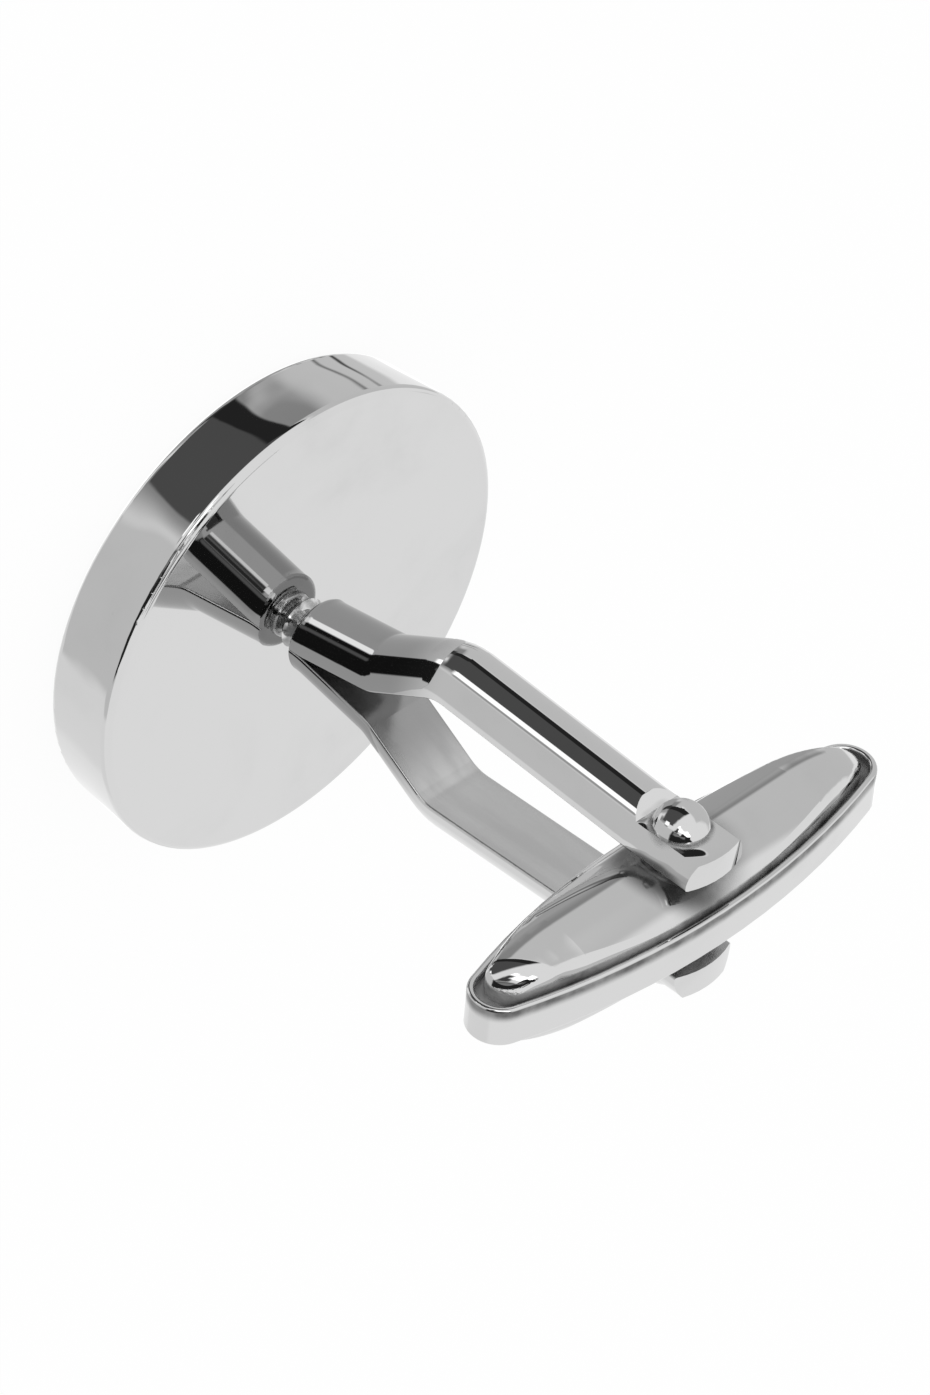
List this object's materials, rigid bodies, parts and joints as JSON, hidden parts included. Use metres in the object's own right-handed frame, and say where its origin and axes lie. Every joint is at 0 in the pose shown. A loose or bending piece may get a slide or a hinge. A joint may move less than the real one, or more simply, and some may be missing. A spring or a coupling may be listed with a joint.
{
  "type": "cufflink",
  "caption": "Swivel-bar cufflink: flat round drum head, a stalk of half-round arms that splits into a fork, and a boat-shaped toggle that turns on a rivet through the arm tips.",
  "frame": {"origin": "centre of the flat front face of the drum head, on which the cufflink stands", "axes": "+Z along the post from the head towards the toggle, +X along the toggle when it lies across the post, +Y along the rivet"},
  "size_m": [0.0184, 0.018, 0.0225],
  "materials": {
    "polished_metal": "mirror polished",
    "face_metal": "polished, plain",
    "solder_metal": "bright, slightly pitted",
    "washer_metal": "plain",
    "spring_steel": "plain"
  },
  "bodies": {
    "post": {"head_cup": "polished_metal", "face_inlay": "face_metal", "post_stud": "solder_metal", "front_arm": "polished_metal", "rear_arm": "polished_metal", "pivot_rivet": "polished_metal", "front_washer": "washer_metal", "rear_washer": "washer_metal"},
    "toggle": {"toggle_frame": "polished_metal", "front_cover": "polished_metal", "rear_cover": "polished_metal", "head_side_spring": "spring_steel", "outer_spring": "spring_steel"}
  },
  "joints": [
    {"name": "toggle_swivel", "type": "hinge", "parent": "post", "child": "toggle", "pos_m": [0, 0, 0.02027], "axis": [0, 1, 0], "continuous": true}
  ]
}
